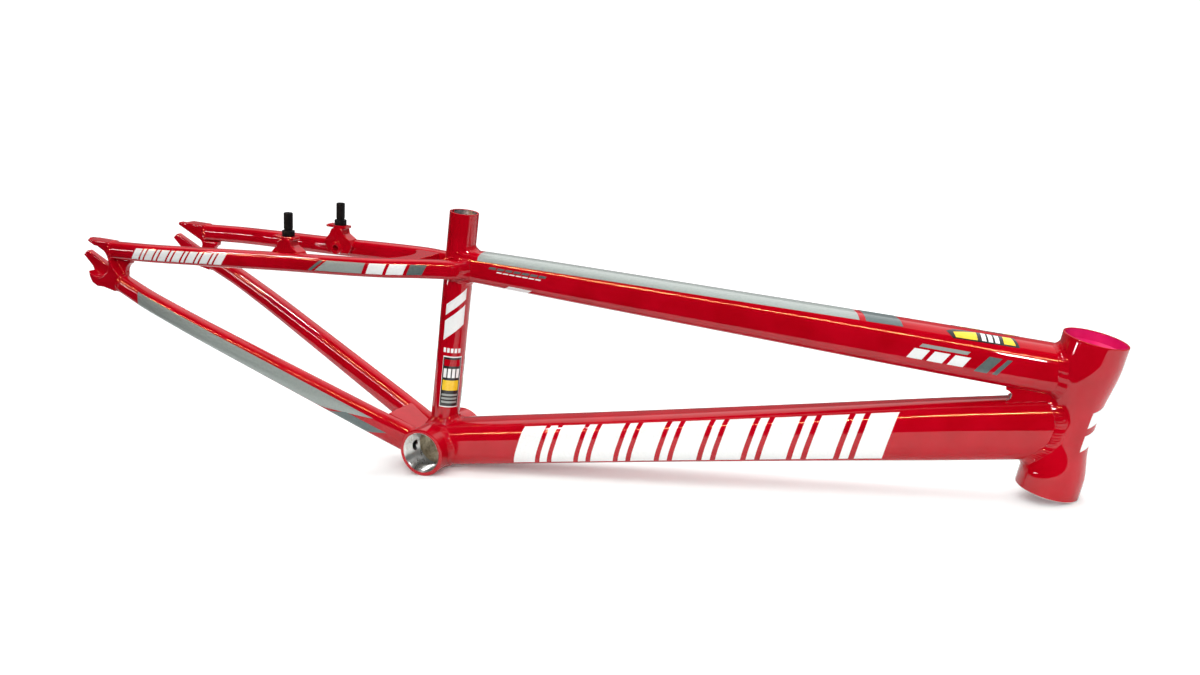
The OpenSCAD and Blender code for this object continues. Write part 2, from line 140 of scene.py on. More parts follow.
# Rear end
HUB_HALF = abs(mounts["dropout_face_right"]["pos_m"][1]) / MM
AXLE = mount_point("rear_axle_slot_right") * np.array([1, 0, 1])
STAY_W = 14.0
STUD_AXIS = mount_axis("brake_pivot_right")
STUD_R = mount_size("brake_pivot_right", "r_mm")
STUD_L = mount_size("brake_pivot_right", "length_mm")
STUD_BOLT_R = mount_size("brake_bolt_right", "r_mm")
STUD_BOLT_L = mount_size("brake_bolt_right", "length_mm")

MAIN_WALL = 1.6
STAY_WALL = 1.4


# --- Tubes: superellipse sections swept along a straight line, with a smooth side offset ---
SECTION_POWER = 3.0


def unit(v):
    return v / np.maximum(np.linalg.norm(v, axis=-1, keepdims=True), 1e-9)


def front_of(axis):
    """The direction square to an upright axis that points forward."""
    across = np.cross(Y, axis)
    return across if across[0] > 0 else -across


def smooth_rows(xs, ys):
    """A monotone cubic through the rows, so that a tube's sides have no corners between stations."""
    xs, ys = np.asarray(xs, float), np.asarray(ys, float)
    h = np.diff(xs)
    d = np.diff(ys) / h
    m = np.zeros(len(xs))
    m[0], m[-1] = d[0], d[-1]
    for i in range(1, len(xs) - 1):
        if d[i - 1] * d[i] > 0:
            w1, w2 = 2 * h[i] + h[i - 1], h[i] + 2 * h[i - 1]
            m[i] = (w1 + w2) / (w1 / d[i - 1] + w2 / d[i])

    def value(x):
        x = np.clip(x, xs[0], xs[-1])
        k = np.clip(np.searchsorted(xs, x) - 1, 0, len(h) - 1)
        t = (x - xs[k]) / h[k]
        return ((2 * t**3 - 3 * t**2 + 1) * ys[k] + (t**3 - 2 * t**2 + t) * h[k] * m[k]
                + (3 * t**2 - 2 * t**3) * ys[k + 1] + (t**3 - t**2) * h[k] * m[k + 1])

    return value


class Tube:
    """rows are [distance, side offset, half width, half height]; angle 90 is up, 180 is towards -Y."""

    def __init__(self, start, end, rows, side=1, power=SECTION_POWER):
        self.power = power
        self.start = np.asarray(start, float)
        run = np.asarray(end, float) - self.start
        self.length = float(np.linalg.norm(run))
        self.axis = run / self.length
        self.up = np.array([-self.axis[2], 0, self.axis[0]])
        self.side = side
        xs = [r[0] for r in rows]
        self.offset, self.half_w, self.half_h = (smooth_rows(xs, [r[k] for r in rows]) for k in (1, 2, 3))

    def at(self, s, angle, out=0.0):
        s, angle = np.broadcast_arrays(np.asarray(s, float), np.radians(angle))
        c, n = np.cos(angle), np.sin(angle)
        r = (np.abs(c)**self.power + np.abs(n)**self.power) ** (-1 / self.power)
        across = self.side * self.offset(s) + (self.half_w(s) + out) * r * c
        rise = (self.half_h(s) + out) * r * n
        return self.start + s[..., None] * self.axis + across[..., None] * Y + rise[..., None] * self.up

    def depth(self, p):
        """Below zero inside the tube."""
        q = np.asarray(p, float) - self.start
        s = q @ self.axis
        v = (q[..., 1] - self.side * self.offset(s)) / self.half_w(s)
        w = (q @ self.up) / self.half_h(s)
        return (np.abs(v)**self.power + np.abs(w)**self.power) ** (1 / self.power) - 1

    def normal(self, s, angle):
        a = self.at(s, np.asarray(angle) - 0.5)
        b = self.at(s, np.asarray(angle) + 0.5)
        n = np.cross(b - a, self.axis)
        n = n / np.linalg.norm(n, axis=-1, keepdims=True)
        outward = self.at(s, angle, 1.0) - self.at(s, angle)
        return n * np.sign(np.sum(n * outward, -1, keepdims=True))


def swell(x):
    """A smooth rise from 0 to 1."""
    return (1 - np.cos(math.pi * np.clip(x, 0, 1))) / 2


def head_radius(t):
    share = np.asarray(t, float) / HEAD_LENGTH
    lower = 1 - swell((share - 0.1) / 0.26)
    upper = swell((share - 0.5) / 0.39)
    return HEAD_WAIST_R + (HEAD_RIM_R - HEAD_WAIST_R) * np.maximum(lower, upper)


def head_depth(p):
    q = np.asarray(p, float) - HEAD_LOW
    t = q @ HEAD_AXIS
    return np.linalg.norm(q - t[..., None] * HEAD_AXIS, axis=-1) - head_radius(t)


def seat_depth(p):
    p = np.asarray(p, float)
    t = p @ SEAT_AXIS
    return np.linalg.norm(p - t[..., None] * SEAT_AXIS, axis=-1) - SEAT_R


def shell_depth(p):
    p = np.asarray(p, float)
    return np.hypot(p[..., 0], p[..., 2]) - SHELL_R


def meet(tube, angles, depth, inside, outside):
    """Distance along each of a tube's lines at which it leaves another piece."""
    lo = np.full(np.shape(angles), float(inside))
    hi = np.full(np.shape(angles), float(outside))
    for _ in range(36):
        mid = (lo + hi) / 2
        within = depth(tube.at(mid, angles)) < 0
        lo, hi = np.where(within, mid, lo), np.where(within, hi, mid)
    return (lo + hi) / 2


def on_seat(s):
    return SEAT_AXIS * s


def on_head(s):
    return HEAD_LOW + HEAD_AXIS * s


# Top tube: where it meets the two upright tubes, then its heights and width at the ends
TOP_ON_SEAT, TOP_ON_HEAD = 168, 90
TOP_H_REAR, TOP_H_FRONT, TOP_W_FRONT = 26.5, 35.5, 34.0
top_start, top_end = on_seat(TOP_ON_SEAT), on_head(TOP_ON_HEAD)
top_len = float(np.linalg.norm(top_end - top_start))
top_tube = Tube(top_start, top_end, [
    [0, 0, SEAT_R - 0.2, TOP_H_REAR / 2],
    [0.16 * top_len, 0, SEAT_R + 1, (0.7 * TOP_H_REAR + 0.3 * TOP_H_FRONT) / 2],
    [0.5 * top_len, 0, (SEAT_R + TOP_W_FRONT / 2) / 2, (0.3 * TOP_H_REAR + 0.7 * TOP_H_FRONT) / 2],
    [0.85 * top_len, 0, TOP_W_FRONT / 2, TOP_H_FRONT / 2],
    [top_len, 0, TOP_W_FRONT / 2, TOP_H_FRONT / 2]])

# Down tube
DOWN_ON_HEAD = 50
DOWN_H_REAR, DOWN_H_FRONT, DOWN_W_REAR, DOWN_W_FRONT = 40.5, 46.0, 44.0, 35.0
down_end = on_head(DOWN_ON_HEAD)
down_len = float(np.linalg.norm(down_end))
down_tube = Tube([0, 0, 0], down_end, [
    [0, 0, DOWN_W_REAR / 2, DOWN_H_REAR / 2],
    [0.3 * down_len, 0, DOWN_W_REAR / 2, DOWN_H_REAR / 2],
    [0.65 * down_len, 0, (DOWN_W_REAR + DOWN_W_FRONT) / 4, (DOWN_H_REAR + DOWN_H_FRONT) / 4],
    [0.88 * down_len, 0, DOWN_W_FRONT / 2, DOWN_H_FRONT / 2],
    [down_len, 0, DOWN_W_FRONT / 2, DOWN_H_FRONT / 2]])

# Stays: a spread lists [share of the length, share of the way out to the dropout]
CHAIN_H_FRONT, CHAIN_H_REAR = 26.0, 16.5
CHAIN_START_Y, CHAIN_START_Z = STAY_W / 2 + 6, -6.7
CHAIN_END_FROM_AXLE = [22, 0, -10.6]
stay_end_y = HUB_HALF + STAY_W / 2
chain_start, chain_end = np.array([0, 0, CHAIN_START_Z]), AXLE + np.array(CHAIN_END_FROM_AXLE)
chain_len = float(np.linalg.norm(chain_end - chain_start))
CHAIN_SPREAD = [[0, 0], [0.18, 0.24], [0.32, 0.4], [0.55, 0.66], [0.8, 0.92], [0.93, 1], [1, 1]]
chainstay = Tube(chain_start, chain_end, [
    [k[0] * chain_len, CHAIN_START_Y + k[1] * (stay_end_y - CHAIN_START_Y), STAY_W / 2,
     (CHAIN_H_FRONT + (CHAIN_H_REAR - CHAIN_H_FRONT) * k[0]) / 2] for k in CHAIN_SPREAD], -1)

SEATSTAY_ON_SEAT = 165
SEATSTAY_H = 16.5
SEATSTAY_START_Y = SEAT_R + 3.5
SEATSTAY_END_FROM_AXLE = [2, 0, 14]
NOSE_FROM, NOSE_L, NOSE_ROUND = -2.0, 13.0, 13.0
seatstay_start, seatstay_end = on_seat(SEATSTAY_ON_SEAT), AXLE + np.array(SEATSTAY_END_FROM_AXLE)
seatstay_len = float(np.linalg.norm(seatstay_end - seatstay_start))
SEATSTAY_SPREAD = [[0.08, 0.15], [0.16, 0.36], [0.28, 0.5], [0.46, 0.62], [0.72, 0.87], [0.9, 1], [1, 1]]


def nose_row(share):
    """The seatstay's front end, rounded off against the side of the top tube."""
    outer = SEATSTAY_START_Y + STAY_W / 2 - NOSE_ROUND * (1 - math.sqrt(1 - share**2))
    inner = SEATSTAY_START_Y - STAY_W / 2
    return [NOSE_FROM - NOSE_L * share, (outer + inner) / 2, (outer - inner) / 2,
            SEATSTAY_H / 2 * (1 - 0.3 * share**2)]


seatstay = Tube(seatstay_start, seatstay_end,
                [nose_row(k) for k in (1, 0.97, 0.9, 0.8, 0.65, 0.5, 0.3, 0)]
                + [[k[0] * seatstay_len, SEATSTAY_START_Y + k[1] * (stay_end_y - SEATSTAY_START_Y),
                    STAY_W / 2, SEATSTAY_H / 2] for k in SEATSTAY_SPREAD], -1)


# --- Mesh helpers ---
SHARP = math.radians(38)


def finish_mesh(mesh, materials, sharp=SHARP):
    for m in materials:
        mesh.materials.append(m)
    mesh.shade_smooth()
    mesh.set_sharp_from_angle(angle=sharp)


def new_object(name, data):
    made = bpy.data.objects.new(name, data)
    bpy.context.scene.collection.objects.link(made)
    return made


def make_piece(name, points, faces, materials, slot, replaces=(), indices=None, mirror=False, sharp=SHARP):
    """One object from points in riding position, riding on the frame's body."""
    points = np.asarray(points, float)
    if mirror:
        points = points * np.array([1, -1, 1])
        faces = [tuple(reversed(f)) for f in faces]
    mesh = bpy.data.meshes.new(name)
    mesh.from_pydata(at_rest(points).tolist(), [], [tuple(int(i) for i in f) for f in faces])
    if indices is not None:
        mesh.polygons.foreach_set("material_index", indices)
    finish_mesh(mesh, materials, sharp)
    return dress(new_object(name, mesh), replaces)


def dress(piece, replaces=()):
    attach(piece, "root")
    if replaces:
        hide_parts(*replaces)
    return piece


def grid_faces(rows, columns, closed, first=0, flip=False):
    """Quads of a grid of points, row by row; closed joins the last column to the first."""
    out = []
    for r in range(rows - 1):
        for c in range(columns if closed else columns - 1):
            a, b = first + r * columns + c, first + r * columns + (c + 1) % columns
            quad = (a, b, b + columns, a + columns)
            out.append(quad[::-1] if flip else quad)
    return out


TUBE_LINES = 96
TUBE_RINGS = 110
line_angles = np.arange(TUBE_LINES) * 360 / TUBE_LINES


def hollow_tube(name, tube, near, far, wall, replaces, mirror=False):
    """A tube between two mitres: near and far give the distance along each line."""
    share = np.linspace(0, 1, TUBE_RINGS)[:, None]
    s = near[None, :] + (far - near)[None, :] * share
    outer = tube.at(s, line_angles[None, :])
    inner = tube.at(s, line_angles[None, :], -wall)
    points = np.concatenate([outer.reshape(-1, 3), inner.reshape(-1, 3)])
    second = TUBE_RINGS * TUBE_LINES
    faces = (grid_faces(TUBE_RINGS, TUBE_LINES, True, 0, True)
             + grid_faces(TUBE_RINGS, TUBE_LINES, True, second))
    for ring, flip in ((0, False), (TUBE_RINGS - 1, True)):
        a = ring * TUBE_LINES
        for c in range(TUBE_LINES):
            d = (c + 1) % TUBE_LINES
            quad = (a + c, a + d, second + a + d, second + a + c)
            faces.append(quad if not flip else quad[::-1])
    walls = (TUBE_RINGS - 1) * TUBE_LINES
    # Outer walls are paint; inner walls take the near-black painted shade.
    indices = [0] * walls + [1] * walls + [0] * (2 * TUBE_LINES)
    return make_piece(name, points, faces, [PAINT, SHADED_INSIDE], "red_paint", replaces, indices, mirror)


def ring_round(axis, count):
    """Directions square to an axis, all the way round."""
    side = np.cross(axis, Y)
    if np.linalg.norm(side) < 0.1:
        side = np.array([1.0, 0, 0])
    side = side / np.linalg.norm(side)
    third = np.cross(axis, side)
    angles = np.arange(count) * 2 * math.pi / count
    return np.cos(angles)[:, None] * side + np.sin(angles)[:, None] * third


def turned(name, profile, base, axis, count, materials, slot, replaces, parts=None):
    """A closed turned piece: profile is a closed list of [radius, distance] round the axis.

    parts gives, for each stretch of the profile, which of the materials it has.
    """
    axis = np.asarray(axis, float)
    ring = ring_round(axis, count)
    points = np.concatenate([np.asarray(base) + axis * d + ring * max(r, 0.0) for r, d in profile])
    n = len(profile)
    faces, indices = [], []
    for k in range(n):
        j = (k + 1) % n
        if profile[k][0] <= 0 and profile[j][0] <= 0:
            continue
        for c in range(count):
            e = (c + 1) % count
            faces.append((k * count + c, k * count + e, j * count + e, j * count + c))
            indices.append(parts[k] if parts else 0)
    piece = make_piece(name, points, faces, materials, slot, replaces, indices)
    clean(piece)
    return piece


def clean(piece):
    """Joins doubled points, drops empty faces and points the faces outward."""
    bm = bmesh.new()
    bm.from_mesh(piece.data)
    bmesh.ops.remove_doubles(bm, verts=bm.verts, dist=1e-6)
    bmesh.ops.dissolve_degenerate(bm, edges=bm.edges, dist=1e-7)
    bmesh.ops.recalc_face_normals(bm, faces=bm.faces)
    bm.to_mesh(piece.data)
    bm.free()


def apply_modifiers(piece):
    evaluated = piece.evaluated_get(bpy.context.evaluated_depsgraph_get())
    mesh = bpy.data.meshes.new_from_object(evaluated)
    old = piece.data
    piece.modifiers.clear()
    piece.data = mesh
    bpy.data.meshes.remove(old)


def cut(piece, cutters):
    """Takes the cutters out of the piece and removes them."""
    for k, cutter in enumerate(cutters):
        m = piece.modifiers.new("cut%d" % k, "BOOLEAN")
        m.operation = "DIFFERENCE"
        m.solver = "EXACT"
        m.object = cutter
    bpy.context.view_layer.update()
    apply_modifiers(piece)
    for cutter in cutters:
        bpy.data.objects.remove(cutter)
    piece.data.shade_smooth()
    piece.data.set_sharp_from_angle(angle=SHARP)


def make_cutter(points, faces):
    mesh = bpy.data.meshes.new("cutter")
    mesh.from_pydata(at_rest(points).tolist(), [], faces)
    return new_object("cutter", mesh)


def rod(start, axis, radius, length):
    """A plain round cutter that leaves bare metal."""
    count = 64
    axis = np.asarray(axis, float) / np.linalg.norm(axis)
    ring = ring_round(axis, count) * radius
    points = np.concatenate([np.asarray(start) + ring, np.asarray(start) + ring + axis * length])
    faces = grid_faces(2, count, True) + [tuple(range(count))[::-1], tuple(range(count, 2 * count))]
    cutter = make_cutter(points, faces)
    cutter.data.materials.append(PAINT)
    cutter.data.materials.append(BARE)
    cutter.data.polygons.foreach_set("material_index", [1] * len(faces))
    clean(cutter)
    return cutter


# --- Materials ---
def new_material(name):
    m = bpy.data.materials.new(name)
    m.use_nodes = True
    tree = m.node_tree
    return m, tree, tree.nodes["Principled BSDF"]


def set_inputs(node, values):
    for name, value in values.items():
        node.inputs[name].default_value = value


def noise(tree, scale, detail=2.0, roughness=0.5):
    where = tree.nodes.new("ShaderNodeTexCoord")
    n = tree.nodes.new("ShaderNodeTexNoise")
    set_inputs(n, {"Scale": scale, "Detail": detail, "Roughness": roughness})
    tree.links.new(where.outputs["Object"], n.inputs["Vector"])
    return n


def ramp(tree, source, low, high, at_low=0.35, at_high=0.65):
    r = tree.nodes.new("ShaderNodeValToRGB")
    r.color_ramp.elements[0].position = at_low
    r.color_ramp.elements[1].position = at_high
    r.color_ramp.elements[0].color = (*low, 1)
    r.color_ramp.elements[1].color = (*high, 1)
    tree.links.new(source, r.inputs["Fac"])
    return r


def tint(tree, shader, source, deep, bright):
    """Colours the surface between two tones."""
    colour = ramp(tree, source.outputs["Fac"], deep, bright)
    tree.links.new(colour.outputs["Color"], shader.inputs["Base Color"])


def bump(tree, source, strength, distance, target):
    b = tree.nodes.new("ShaderNodeBump")
    set_inputs(b, {"Strength": strength, "Distance": distance})
    tree.links.new(source.outputs["Fac"], b.inputs["Height"])
    tree.links.new(b.outputs["Normal"], target)


def vary_roughness(tree, shader, source, low, high):
    rough = tree.nodes.new("ShaderNodeMapRange")
    set_inputs(rough, {"To Min": low, "To Max": high})
    tree.links.new(source.outputs["Fac"], rough.inputs["Value"])
    tree.links.new(rough.outputs["Result"], shader.inputs["Roughness"])


def gloss_coat(tree, shader, roughness, peel):
    """A clear coat with a faint orange peel."""
    set_inputs(shader, {"Coat Weight": 1.0, "Coat Roughness": roughness, "Coat IOR": 1.44})
    bump(tree, noise(tree, 260, 2), peel, 0.0004, shader.inputs["Coat Normal"])


def make_paint(name, deep, bright, peel):
    """Wet red paint under a clear coat, with a slight drift in depth."""
    m, tree, shader = new_material(name)
    tint(tree, shader, noise(tree, 38, 3), deep, bright)
    set_inputs(shader, {"Roughness": 0.5, "Specular IOR Level": 0.0})
    gloss_coat(tree, shader, 0.018, peel)
    bump(tree, noise(tree, 900, 2), 0.03, 0.0002, shader.inputs["Normal"])
    return m


def make_decal(name, colour, edge, rear_darkening=None):
    """Printed film under the clear coat, with a faint grain.

    rear_darkening is (rearmost x, foremost x, how much of the tone is left at the rearmost): the tone grows
    darker towards the rear between the two.
    """
    m, tree, shader = new_material(name)
    grain = noise(tree, 500, 3)
    mix = ramp(tree, grain.outputs["Fac"], edge, colour, 0.3, 0.55)
    ink = mix.outputs["Color"]
    if rear_darkening:
        where = tree.nodes.new("ShaderNodeTexCoord")
        split = tree.nodes.new("ShaderNodeSeparateXYZ")
        depth = tree.nodes.new("ShaderNodeMapRange")
        scaled = tree.nodes.new("ShaderNodeVectorMath")
        scaled.operation = "SCALE"
        depth.inputs["From Min"].default_value, depth.inputs["From Max"].default_value = rear_darkening[:2]
        depth.inputs["To Min"].default_value = rear_darkening[2]
        tree.links.new(where.outputs["Object"], split.inputs["Vector"])
        tree.links.new(split.outputs["X"], depth.inputs["Value"])
        tree.links.new(ink, scaled.inputs[0])
        tree.links.new(depth.outputs["Result"], scaled.inputs["Scale"])
        ink = scaled.outputs["Vector"]
    tree.links.new(ink, shader.inputs["Base Color"])
    set_inputs(shader, {"Roughness": 0.45, "Specular IOR Level": 0.2})
    gloss_coat(tree, shader, 0.03, 0.008)
    return m


def make_bare_metal():
    """Freshly cut aluminium: fine turning marks round the hole and a little smear."""
    m, tree, shader = new_material("bare_aluminium")
    shader.inputs["Metallic"].default_value = 1.0
    smear = noise(tree, 55, 4, 0.6)
    tint(tree, shader, smear, (0.60, 0.59, 0.56), (0.80, 0.80, 0.79))
    vary_roughness(tree, shader, smear, 0.18, 0.4)
    bump(tree, noise(tree, 1400, 2), 0.12, 0.0001, shader.inputs["Normal"])
    return m


def make_raw_metal():
    """Aluminium left as drawn: dull, brownish and stained."""
    m, tree, shader = new_material("raw_aluminium")
    shader.inputs["Metallic"].default_value = 1.0
    stain = noise(tree, 210, 5, 0.65)
    tint(tree, shader, stain, (0.42, 0.33, 0.20), (0.78, 0.68, 0.50))
    shader.inputs["Roughness"].default_value = 0.55
    bump(tree, stain, 0.4, 0.0003, shader.inputs["Normal"])
    return m


def make_shaded_tube_inside(name, deep, bright, rough):
    """A tube's inner wall: its colour is darkened as painted shade, standing in for the little light that
    gets inside.
    """
    m, tree, shader = new_material(name)
    tint(tree, shader, noise(tree, 300, 3), deep, bright)
    set_inputs(shader, {"Metallic": 0.6, "Roughness": rough})
    return m


def make_stud_black():
    """Black oxide on steel: satin, with a fine turned grain and slightly lighter worn patches."""
    m, tree, shader = new_material("stud_black")
    wear = noise(tree, 420, 4, 0.6)
    tint(tree, shader, wear, (0.0025, 0.0025, 0.003), (0.009, 0.009, 0.010))
    shader.inputs["Specular IOR Level"].default_value = 0.08
    vary_roughness(tree, shader, wear, 0.3, 0.5)
    bump(tree, wear, 0.15, 0.0001, shader.inputs["Normal"])
    return m


PAINT = make_paint("red_paint", (0.40, 0.0002, 0.006), (0.47, 0.0006, 0.0095), 0.004)
# The head tube's bore: thin overspray red, made pinker and lighter than the outer paint as a painted
# reflection of the light inside.
THIN_PAINT_AND_SHEEN = make_paint("red_paint_thin", (0.62, 0.006, 0.10), (0.75, 0.02, 0.16), 0.01)
WELD_PAINT = make_paint("weld_paint", (0.38, 0.0002, 0.006), (0.46, 0.0006, 0.009), 0.11)
BARE = make_bare_metal()
RAW = make_raw_metal()
# Near-black inner walls of the tubes, painted shade: the colour stands in for the dark inside the tubes and
# behind the vents.
SHADED_INSIDE = make_shaded_tube_inside("tube_inside", (0.02, 0.019, 0.018), (0.06, 0.058, 0.055), 0.6)
# The seat tube's reamed bore: grey metal, darkened further as painted shade down the bore.
SHADED_BORE = make_shaded_tube_inside("seat_tube_bore", (0.10, 0.10, 0.11), (0.26, 0.26, 0.28), 0.42)
BLACK = make_stud_black()
WHITE = make_decal("decal_white", (0.88, 0.89, 0.88), (0.84, 0.85, 0.84))
GREY = make_decal("decal_grey", (0.31, 0.345, 0.325), (0.28, 0.315, 0.295))
# Grey for the chainstay stripe, darker towards its rear end.
GREY_DARKER_REARWARD = make_decal("decal_grey_fade", (0.31, 0.345, 0.325), (0.28, 0.315, 0.295), (-0.31, -0.20, 0.55))
DARK = make_decal("decal_dark", (0.095, 0.13, 0.13), (0.08, 0.11, 0.11))
YELLOW = make_decal("decal_yellow", (0.90, 0.58, 0.02), (0.84, 0.52, 0.015))
INK = make_decal("decal_black", (0.012, 0.012, 0.013), (0.008, 0.008, 0.009))


# --- Head tube ---
def arc(centre, radius, start, end, steps=5):
    """Points round an arc, from start to end in degrees."""
    return [[centre[0] + radius * math.cos(math.radians(start + (end - start) * k / steps)),
             centre[1] + radius * math.sin(math.radians(start + (end - start) * k / steps))]
            for k in range(steps + 1)]


def head_tube():
    """Rounded rims, a bearing seat at each end and a narrower bore between them; the upper seat and the bore
    are a thin overspray red, made pinker and lighter as a painted reflection of the light inside.
    """
    edge, step, steps = 0.5, 2.0, 72
    ts = np.linspace(edge, HEAD_LENGTH - edge, steps)
    outer = [[float(head_radius(t)), float(t)] for t in ts]
    top = (arc([HEAD_RIM_R - edge, HEAD_LENGTH - edge], edge, 0, 90)
           + arc([BEARING_R + edge, HEAD_LENGTH - edge], edge, 90, 180))
    bottom = (arc([BEARING_R + edge, edge], edge, 180, 270) + arc([HEAD_RIM_R - edge, edge], edge, 270, 360))
    inner_from, inner_to = HEAD_LENGTH - BEARING_DEPTH - step, BEARING_DEPTH + step
    inner = [[min(BEARING_R - step, float(head_radius(t)) - HEAD_WALL), float(t)]
             for t in np.linspace(inner_from, inner_to, steps)]
    seat_top = [[BEARING_R, HEAD_LENGTH - BEARING_DEPTH]]
    seat_low = [[BEARING_R, BEARING_DEPTH]]
    profile = outer[1:-1] + top + seat_top + inner + seat_low + bottom
    # Stretch 2 is the thin red with its painted reflection; 1 is bare metal at the lower seat and rim.
    parts = [0] * (len(outer) - 2 + len(top) - 1) + [2] * (len(inner) + 2) + [1] * (len(bottom) + 1)
    parts[-1] = 0
    piece = turned("head_tube_body", profile, HEAD_LOW, HEAD_AXIS, 192, [PAINT, BARE, THIN_PAINT_AND_SHEEN],
                   "red_paint", ["head_tube"], parts)
    piece.data.set_sharp_from_angle(angle=SHARP)


head_tube()

# --- Main tubes ---
# A mitre is what the tube meets, a distance along the tube inside that and one outside it
TOP_REAR = (seat_depth, 0, 30)
TOP_FRONT = (head_depth, top_len, top_len - 45)
DOWN_REAR = (shell_depth, 0, 40)
DOWN_FRONT = (head_depth, down_len, down_len - 60)
hollow_tube("top_tube_body", top_tube, meet(top_tube, line_angles, *TOP_REAR),
            meet(top_tube, line_angles, *TOP_FRONT), MAIN_WALL, ["top_tube"])
hollow_tube("down_tube_body", down_tube, meet(down_tube, line_angles, *DOWN_REAR),
            meet(down_tube, line_angles, *DOWN_FRONT), MAIN_WALL, ["down_tube"])


def seat_tube():
    """A plain tube, reamed for the post, with a clamp slot that ends in a round relief."""
    edge, base, butt = 0.35, SHELL_R - 2.0, 0.3
    ream_from = SEAT_LENGTH - SEAT_REAM
    profile = ([[SEAT_R, base]] + arc([SEAT_R - edge, SEAT_LENGTH - edge], edge, 0, 90)
               + arc([SEAT_BORE_R + edge, SEAT_LENGTH - edge], edge, 90, 180)
               + [[SEAT_BORE_R, ream_from], [SEAT_BORE_R - butt, ream_from - butt],
                  [SEAT_BORE_R - butt, base]])
    # The reamed bore takes the grey darkened as painted shade.
    parts = [0] * (len(profile) - 4) + [2, 2, 2, 0]
    piece = turned("seat_tube_body", profile, [0, 0, 0], SEAT_AXIS, 160, [PAINT, BARE, SHADED_BORE],
                   "red_paint", ["seat_tube"], parts)
    rear = -front_of(SEAT_AXIS)
    low, high = SEAT_LENGTH - SLOT_L, SEAT_LENGTH + 2
    corners = [SEAT_AXIS * s + rear * d + Y * w for s in (low, high) for d in (2, SEAT_R + 2)
               for w in (-SLOT_W / 2, SLOT_W / 2)]
    slot = make_cutter(corners, [(0, 1, 3, 2), (4, 6, 7, 5), (0, 4, 5, 1), (2, 3, 7, 6),
                                 (0, 2, 6, 4), (1, 5, 7, 3)])
    clean(slot)
    cut(piece, [slot, rod(SEAT_AXIS * low + rear * 2, rear, SLOT_W, SEAT_R)])


seat_tube()


# --- Bottom bracket shell: threads, relief, chamfers and vents ---
def shell():
    edge, chamfer, relief, depth, crest = 0.6, 1.5, 1.0, 0.5, 0.12
    vent_r, chain_vent_r, chain_vent_y = 8, 4.5, 20
    half = SHELL_W / 2
    outer = (arc([SHELL_R - edge, -half + edge], edge, 270, 360)
             + arc([SHELL_R - edge, half - edge], edge, 0, 90))
    mouth = [[THREAD_R + chamfer, half], [THREAD_R, half - chamfer]]
    turns = int((THREAD_L - chamfer) / THREAD_PITCH)
    thread = []
    for k in range(turns):
        top = half - chamfer - k * THREAD_PITCH
        thread += [[THREAD_R, top - crest], [THREAD_R + depth, top - 0.5 * THREAD_PITCH],
                   [THREAD_R, top - THREAD_PITCH + crest]]
    run_out = half - THREAD_L
    upper = mouth + thread + [[THREAD_R, run_out + 0.2], [THREAD_R + relief, run_out - 0.8]]
    lower = [[r, -d] for r, d in reversed(upper)]
    profile = outer + upper + lower
    parts = [0] * len(outer) + [1] * (len(upper) - 1) + [2] + [1] * (len(lower) - 1) + [0]
    piece = turned("shell_body", profile, [0, 0, 0], Y, 160, [PAINT, BARE, RAW],
                   "red_paint", ["bottom_bracket_shell"], parts)
    vents = [rod([0, 0, 0], axis, vent_r, 2 * SHELL_R) for axis in (SEAT_AXIS, down_tube.axis)]
    vents += [rod(chain_start + Y * chain_vent_y * side, chainstay.axis, chain_vent_r, 2 * SHELL_R)
              for side in (-1, 1)]
    cut(piece, vents)
    return piece


shell_body = shell()


# --- Stays ---
def stay_socket(p):
    """Below zero inside the seat tube or the top tube."""
    return np.minimum(seat_depth(p) / SEAT_R, top_tube.depth(p))


CHAIN_FRONT = (shell_depth, 0, 40)
STAY_FRONT = (stay_socket, NOSE_FROM - NOSE_L, 40)
chain_near = meet(chainstay, line_angles, *CHAIN_FRONT)
chain_far = np.full(TUBE_LINES, chain_len)
stay_near = meet(seatstay, line_angles, *STAY_FRONT)
stay_far = np.full(TUBE_LINES, seatstay_len)
for mirror, hand in ((False, "right"), (True, "left")):
    hollow_tube("chainstay_%s_body" % hand, chainstay, chain_near, chain_far, STAY_WALL,
                ["chainstay_" + hand], mirror)
    hollow_tube("seatstay_%s_body" % hand, seatstay, stay_near, stay_far, STAY_WALL,
                ["seatstay_" + hand], mirror)


# --- Small solid pieces, softened: the CAD shape with rounded, paint-filled edges ---
SOFT_SHARP = math.radians(60)


def soften(node, voxel, rounds):
    """A copy of a CAD node, remeshed finely and smoothed so that every edge is rounded."""
    piece = new_object(node + "_body", frame["nodes"][node].data.copy())
    piece.data.materials.clear()
    clean(piece)
    remesh = piece.modifiers.new("remesh", "REMESH")
    remesh.mode = "VOXEL"
    remesh.voxel_size = voxel * MM
    remesh.adaptivity = 0.0
    smooth = piece.modifiers.new("smooth", "SMOOTH")
    smooth.factor = 0.5
    smooth.iterations = rounds
    fewer = piece.modifiers.new("fewer", "DECIMATE")
    fewer.ratio = 0.5
    bpy.context.view_layer.update()
    apply_modifiers(piece)
    finish_mesh(piece.data, [PAINT], SOFT_SHARP)
    dress(piece, [node])


for hand in ("left", "right"):
    soften("dropout_" + hand, 0.45, 8)
    soften("brake_boss_" + hand, 0.35, 7)
for node in ("head_gusset", "chainstay_bridge", "seatstay_bridge"):
    soften(node, 0.5, 7)


